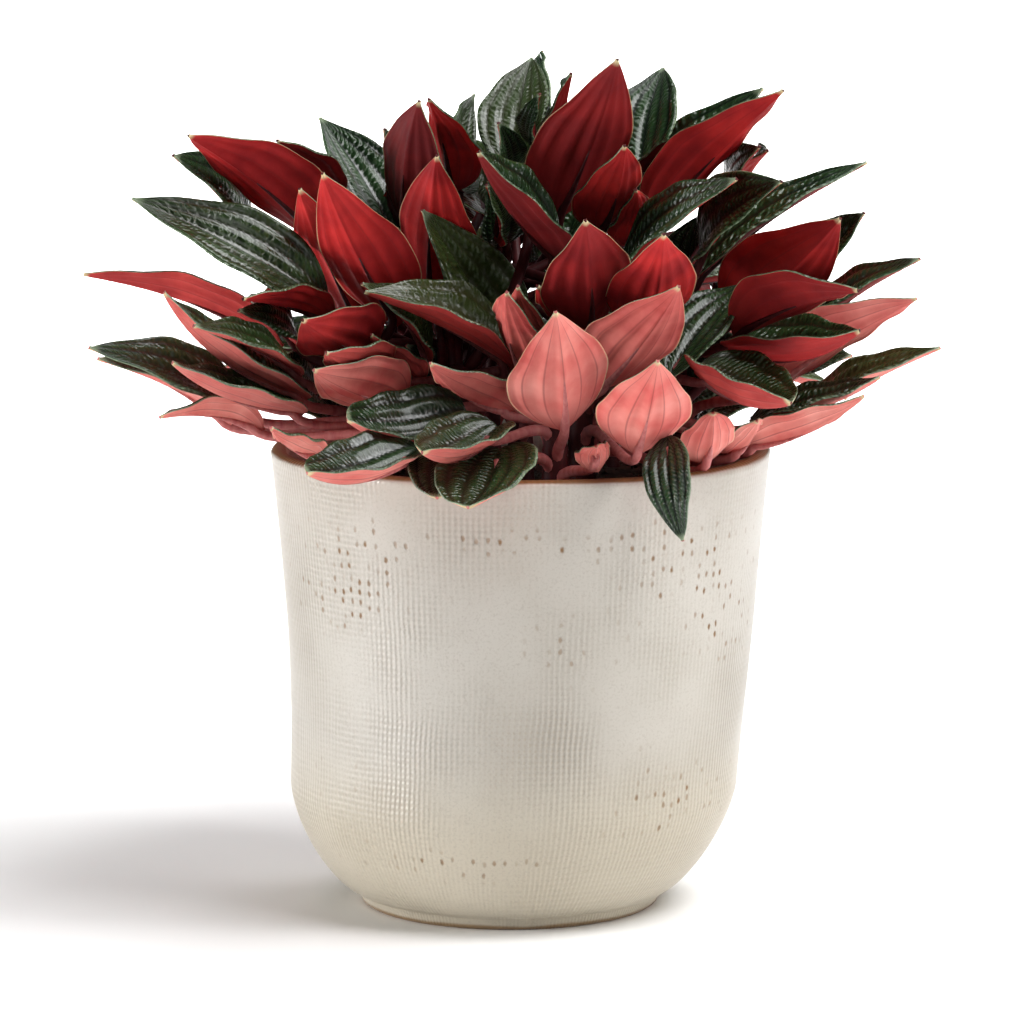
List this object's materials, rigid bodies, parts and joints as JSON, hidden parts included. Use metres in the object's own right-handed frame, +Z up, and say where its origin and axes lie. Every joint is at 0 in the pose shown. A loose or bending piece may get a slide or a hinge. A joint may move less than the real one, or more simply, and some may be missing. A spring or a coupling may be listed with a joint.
{
  "type": "potted peperomia plant",
  "caption": "Ripple peperomia with long pointed leaves, dark green above and red beneath, in a cream glazed stoneware pot.",
  "frame": {"origin": "middle of the pot's flat foot, on the surface that it stands on", "axes": "+Z up, -Y towards the side that the picture shows, +X to its right"},
  "size_m": [0.2373, 0.2001, 0.2397],
  "materials": {
    "stoneware_glaze": "satin",
    "potting_soil": "matte",
    "leaf_and_stalk": "satin"
  },
  "bodies": {
    "root": {"pot": "stoneware_glaze", "soil": "potting_soil", "leafy_stem_01": "leaf_and_stalk", "leafy_stem_02": "leaf_and_stalk", "leafy_stem_03": "leaf_and_stalk", "leafy_stem_04": "leaf_and_stalk", "leafy_stem_05": "leaf_and_stalk", "leafy_stem_06": "leaf_and_stalk", "leafy_stem_07": "leaf_and_stalk", "leafy_stem_08": "leaf_and_stalk", "leafy_stem_09": "leaf_and_stalk", "leafy_stem_10": "leaf_and_stalk", "leafy_stem_11": "leaf_and_stalk", "leafy_stem_12": "leaf_and_stalk", "leafy_stem_13": "leaf_and_stalk"}
  },
  "joints": []
}
